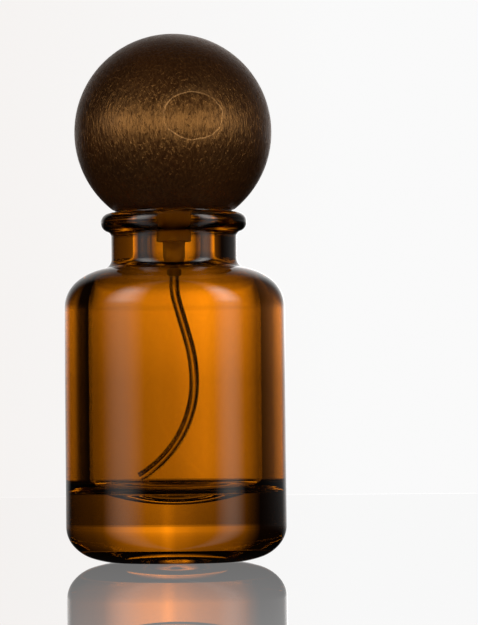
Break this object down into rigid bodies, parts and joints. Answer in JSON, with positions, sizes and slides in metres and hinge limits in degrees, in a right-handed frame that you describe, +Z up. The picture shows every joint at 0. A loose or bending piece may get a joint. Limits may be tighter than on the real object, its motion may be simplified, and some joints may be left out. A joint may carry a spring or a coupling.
{
  "type": "aftershave bottle",
  "caption": "Small cylindrical amber glass spray bottle with a thick base, a beaded neck, a crimped fine-mist pump with dip tube, and a ball-shaped wooden cap.",
  "frame": {"origin": "centre of the base, on the table", "axes": "+Z up along the bottle's axis; the nozzle faces -Y, the dip tube curls towards -X"},
  "size_m": [0.04, 0.04, 0.0959],
  "materials": {
    "amber_glass": "clear glass under a sheer polished amber lacquer",
    "natural_plastic": "natural, slightly milky moulded plastic",
    "white_plastic": "white moulded plastic",
    "steel": "drawn stainless steel",
    "seal_rubber": "black rubber",
    "satin_aluminium": "satin anodised",
    "stained_wood": "dark walnut stain under satin lacquer"
  },
  "bodies": {
    "bottle": {"glass_bottle": "amber_glass", "dip_tube": "natural_plastic", "pump_housing": "white_plastic", "return_spring": "steel", "stem_seal": "seal_rubber", "turret": "white_plastic", "neck_gasket": "seal_rubber", "crimp_ferrule": "satin_aluminium", "pump_collar": "satin_aluminium"},
    "cap": {"cap_ball": "stained_wood", "cap_liner": "natural_plastic"},
    "stem": {"stem": "white_plastic", "valve_plunger": "white_plastic", "piston_spring": "steel"},
    "piston": {"piston": "natural_plastic"},
    "inlet_ball": {"inlet_ball": "steel"},
    "actuator": {"actuator_button": "white_plastic", "actuator_shell": "satin_aluminium", "nozzle_insert": "white_plastic"}
  },
  "joints": [
    {"name": "cap_pull", "type": "slide", "parent": "bottle", "child": "cap", "axis": [0, 0, 1], "range_m": [0, 0.03]},
    {"name": "stem_press", "type": "slide", "parent": "bottle", "child": "stem", "axis": [0, 0, -1], "range_m": [0, 0.0035], "stiffness_N_per_m": 1500, "springref_m": -0.003, "deforming": ["return_spring"]},
    {"name": "piston_slip", "type": "slide", "parent": "stem", "child": "piston", "axis": [0, 0, 1], "range_m": [0, 0.0004], "stiffness_N_per_m": 1000, "springref_m": -0.0005, "deforming": ["piston_spring"]},
    {"name": "inlet_ball_lift", "type": "slide", "parent": "bottle", "child": "inlet_ball", "axis": [0, 0, 1], "range_m": [0, 0.0005]},
    {"name": "actuator_swivel", "type": "hinge", "parent": "stem", "child": "actuator", "pos_m": [0, 0, 0.081], "axis": [0, 0, 1], "continuous": true}
  ]
}
